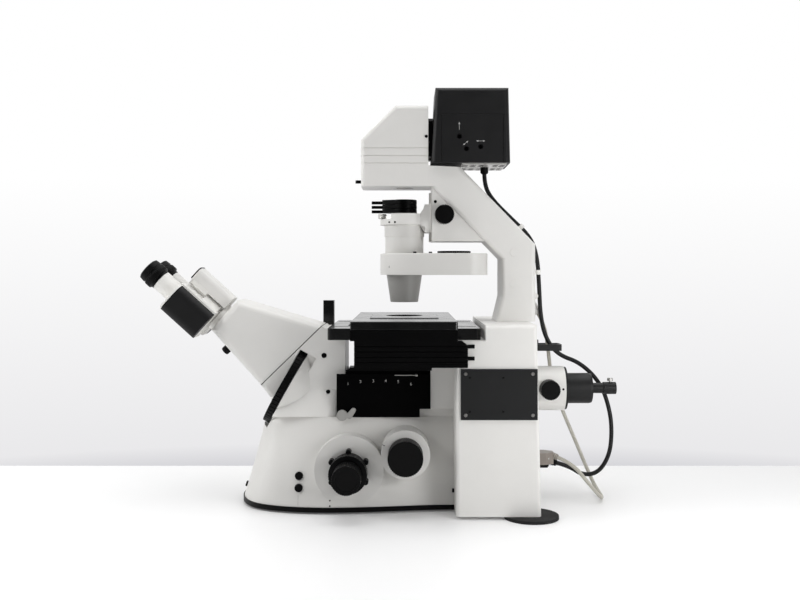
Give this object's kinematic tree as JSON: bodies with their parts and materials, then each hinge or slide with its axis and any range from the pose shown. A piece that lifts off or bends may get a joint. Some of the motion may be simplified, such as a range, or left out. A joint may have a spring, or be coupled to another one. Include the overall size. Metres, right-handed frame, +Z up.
{
  "type": "inverted microscope",
  "caption": "Inverted research microscope with a tilting illumination arm, moving stage, binocular head, focusing nosepiece, turret condenser, lamp and light-guide entry.",
  "frame": {"origin": "on the table, under the middle of the instrument's overall box without its cables", "axes": "+Z up, +X from the eyepieces towards the rear light entry, +Y towards the user's left hand"},
  "size_m": [0.8216, 0.38, 0.7074],
  "materials": {
    "white_paint": "fine textured warm white paint",
    "black_paint": "satin black paint",
    "black_plastic": "fine grained black plastic",
    "dark_cover": "dark grey textured paint",
    "black_anodised": "black anodised aluminium",
    "grey_plastic": "mid grey plastic",
    "pale_plastic": "pale beige plastic",
    "steel": "bright turned steel",
    "foot_rubber": "matt black rubber",
    "white_plastic": "smooth white plastic",
    "cable_black": "black cable sheath",
    "cable_grey": "grey beige cable sheath"
  },
  "bodies": {
    "stand": {"base_plate": "black_paint", "feet": "foot_rubber", "front_base": "white_paint", "rear_housing": "white_paint", "side_covers": "dark_cover", "cover_screws": "steel", "nose": "white_paint", "tube_housing": "white_paint", "binocular_center": "white_paint", "arm_foot": "white_paint", "light_entry": "white_paint", "guide_adapter": "black_paint", "cable_bracket": "black_paint", "stage_base": "black_anodised", "stage_drive": "black_anodised", "reflector_module": "black_anodised", "lamp_cable": "cable_black", "grey_cable": "cable_grey", "lamp_plug": "black_plastic", "grey_plug": "pale_plastic"},
    "tube_lens_wheel": {"tube_lens_wheel": "black_plastic"},
    "pull_knob": {"pull_knob": "black_plastic"},
    "prism_near": {"prism_box_near": "black_plastic", "eye_tube_near": "white_plastic"},
    "prism_far": {"prism_box_far": "black_plastic", "eye_tube_far": "white_plastic"},
    "eyepiece_near": {"eyepiece_near": "black_plastic"},
    "eyepiece_far": {"eyepiece_far": "black_plastic"},
    "stage_carriage": {"stage_carriage": "black_anodised"},
    "stage_plate": {"stage_plate": "black_anodised", "stage_insert": "black_anodised"},
    "coarse_knobs": {"coarse_knobs": "black_plastic"},
    "fine_knobs": {"fine_knobs": "black_plastic"},
    "nosepiece_carrier": {"nosepiece_carrier": "black_anodised"},
    "nosepiece_revolver": {"nosepiece_revolver": "black_anodised", "objectives": "steel"},
    "reflector_turret": {"reflector_turret": "black_anodised"},
    "module_lever": {"module_lever": "grey_plastic"},
    "port_knob": {"port_knob": "black_plastic"},
    "button_upper": {"button_upper": "black_plastic"},
    "button_lower": {"button_lower": "black_plastic"},
    "front_switch": {"front_switch": "black_plastic"},
    "arm": {"arm": "white_paint", "illuminator_head": "white_paint", "lamp_housing": "black_paint", "lamp_grille": "pale_plastic", "condenser_gusset": "white_paint"},
    "field_lever": {"field_lever": "black_plastic"},
    "condenser_knob": {"condenser_knob": "black_plastic"},
    "condenser": {"condenser_slide": "white_paint", "condenser_body": "white_plastic", "condenser_cone": "grey_plastic"},
    "aperture_ring": {"aperture_ring": "steel"},
    "filter_holder_1": {"filter_holder_1": "black_anodised"},
    "filter_holder_2": {"filter_holder_2": "black_anodised"},
    "filter_holder_3": {"filter_holder_3": "black_anodised"},
    "condenser_turret": {"condenser_turret": "black_anodised"},
    "turret_thumbwheel": {"turret_thumbwheel": "black_plastic"},
    "guide_screw": {"guide_screw": "steel"},
    "entry_knob": {"entry_knob": "black_plastic"}
  },
  "joints": [
    {"name": "arm_tilt", "type": "hinge", "parent": "stand", "child": "arm", "pos_m": [0.26742, 0, 0.353], "axis": [0, 1, 0], "range_deg": [0, 30], "deforming": ["lamp_cable"]},
    {"name": "tube_lens_turn", "type": "hinge", "parent": "stand", "child": "tube_lens_wheel", "pos_m": [-0.16178, 0, 0.2006], "axis": [0.8718, 0, -0.4898], "continuous": true},
    {"name": "light_pull", "type": "slide", "parent": "stand", "child": "pull_knob", "axis": [-0.7438, 0, -0.6684], "range_m": [0, 0.01]},
    {"name": "eye_distance_near", "type": "hinge", "parent": "stand", "child": "prism_near", "pos_m": [-0.26469, 0, 0.32303], "axis": [-0.7417, 0, 0.6707], "range_deg": [-7.6, 10.9]},
    {"name": "eye_distance_far", "type": "hinge", "parent": "stand", "child": "prism_far", "pos_m": [-0.26469, 0, 0.32303], "axis": [-0.7417, 0, 0.6707], "range_deg": [-10.9, 7.6]},
    {"name": "diopter_near", "type": "hinge", "parent": "prism_near", "child": "eyepiece_near", "pos_m": [-0.28615, -0.032, 0.2993], "axis": [-0.7417, 0, 0.6707], "range_deg": [-150, 150]},
    {"name": "diopter_far", "type": "hinge", "parent": "prism_far", "child": "eyepiece_far", "pos_m": [-0.28615, 0.032, 0.2993], "axis": [-0.7417, 0, 0.6707], "range_deg": [-150, 150]},
    {"name": "stage_x", "type": "slide", "parent": "stand", "child": "stage_carriage", "axis": [1, 0, 0], "range_m": [-0.0425, 0.0425]},
    {"name": "stage_y", "type": "slide", "parent": "stage_carriage", "child": "stage_plate", "axis": [0, 1, 0], "range_m": [-0.065, 0.065]},
    {"name": "coarse_focus", "type": "hinge", "parent": "stand", "child": "coarse_knobs", "pos_m": [-0.04878, 0, 0.071], "axis": [0, 1, 0], "range_deg": [-270, 900]},
    {"name": "fine_focus", "type": "hinge", "parent": "stand", "child": "fine_knobs", "pos_m": [-0.04878, 0, 0.071], "axis": [0, 1, 0], "range_deg": [-2700, 9000]},
    {"name": "nosepiece_focus", "type": "slide", "parent": "stand", "child": "nosepiece_carrier", "axis": [0, 0, 1], "range_m": [-0.003, 0.01]},
    {"name": "nosepiece_turn", "type": "hinge", "parent": "nosepiece_carrier", "child": "nosepiece_revolver", "pos_m": [0.04122, 0, 0.075], "axis": [-0.1736, 0, 0.9848], "continuous": true},
    {"name": "reflector_turn", "type": "hinge", "parent": "stand", "child": "reflector_turret", "pos_m": [0.00322, 0, 0.152], "axis": [0, 0, 1], "continuous": true},
    {"name": "module_lock", "type": "hinge", "parent": "stand", "child": "module_lever", "pos_m": [-0.06228, 0, 0.156], "axis": [0, 1, 0], "range_deg": [-40, 0]},
    {"name": "port_select", "type": "hinge", "parent": "stand", "child": "port_knob", "pos_m": [0.04342, 0, 0.0986], "axis": [0, 1, 0], "range_deg": [-60, 60]},
    {"name": "button_upper_press", "type": "slide", "parent": "stand", "child": "button_upper", "axis": [0.2009, 0.9417, -0.2698], "range_m": [0, 0.0025], "stiffness_N_per_m": 400, "springref_m": -0.001},
    {"name": "button_lower_press", "type": "slide", "parent": "stand", "child": "button_lower", "axis": [0.1909, 0.9513, -0.242], "range_m": [0, 0.0025], "stiffness_N_per_m": 400, "springref_m": -0.001},
    {"name": "front_switch_press", "type": "slide", "parent": "stand", "child": "front_switch", "axis": [0.9554, 0, -0.2954], "range_m": [0, 0.0025], "stiffness_N_per_m": 400, "springref_m": -0.001},
    {"name": "field_iris", "type": "hinge", "parent": "arm", "child": "field_lever", "pos_m": [0.04122, 0, 0.552], "axis": [0, 0, 1], "range_deg": [-20, 20]},
    {"name": "condenser_focus", "type": "slide", "parent": "arm", "child": "condenser", "axis": [0, 0, 1], "range_m": [-0.018, 0.015]},
    {"name": "condenser_knob_turn", "type": "hinge", "parent": "arm", "child": "condenser_knob", "pos_m": [0.10922, 0, 0.492], "axis": [0, 1, 0], "range_deg": [-90, 90]},
    {"name": "aperture_iris", "type": "hinge", "parent": "condenser", "child": "aperture_ring", "pos_m": [0.04122, 0, 0.488], "axis": [0, 0, 1], "range_deg": [-25, 25]},
    {"name": "filter_swing_1", "type": "hinge", "parent": "condenser", "child": "filter_holder_1", "pos_m": [0.04122, 0.045, 0.5], "axis": [0, 0, 1], "range_deg": [-75, 0]},
    {"name": "filter_swing_2", "type": "hinge", "parent": "condenser", "child": "filter_holder_2", "pos_m": [0.04122, 0.045, 0.5], "axis": [0, 0, 1], "range_deg": [-75, 0]},
    {"name": "filter_swing_3", "type": "hinge", "parent": "condenser", "child": "filter_holder_3", "pos_m": [0.04122, 0.045, 0.5], "axis": [0, 0, 1], "range_deg": [-75, 0]},
    {"name": "condenser_turret_turn", "type": "hinge", "parent": "condenser", "child": "condenser_turret", "pos_m": [0.08122, 0, 0.4], "axis": [0, 0, 1], "continuous": true},
    {"name": "thumbwheel_turn", "type": "hinge", "parent": "condenser", "child": "turret_thumbwheel", "pos_m": [0.12822, 0, 0.4264], "axis": [0, 0, 1], "continuous": true},
    {"name": "guide_screw_turn", "type": "hinge", "parent": "stand", "child": "guide_screw", "pos_m": [0.40122, 0, 0.205], "axis": [0, 0, 1], "continuous": true},
    {"name": "entry_knob_turn", "type": "hinge", "parent": "stand", "child": "entry_knob", "pos_m": [0.28822, 0, 0.195], "axis": [0, 1, 0], "range_deg": [-90, 90]}
  ],
  "couplings": [
    {"joint": "eye_distance_far", "follows": "eye_distance_near", "ratio": -1},
    {"joint": "nosepiece_focus", "follows": "coarse_focus", "m_per_rad": 0.00063662},
    {"joint": "fine_focus", "follows": "coarse_focus", "ratio": 10},
    {"joint": "condenser_knob_turn", "follows": "condenser_focus", "rad_per_m": 83.333},
    {"joint": "thumbwheel_turn", "follows": "condenser_turret_turn", "ratio": 5}
  ]
}
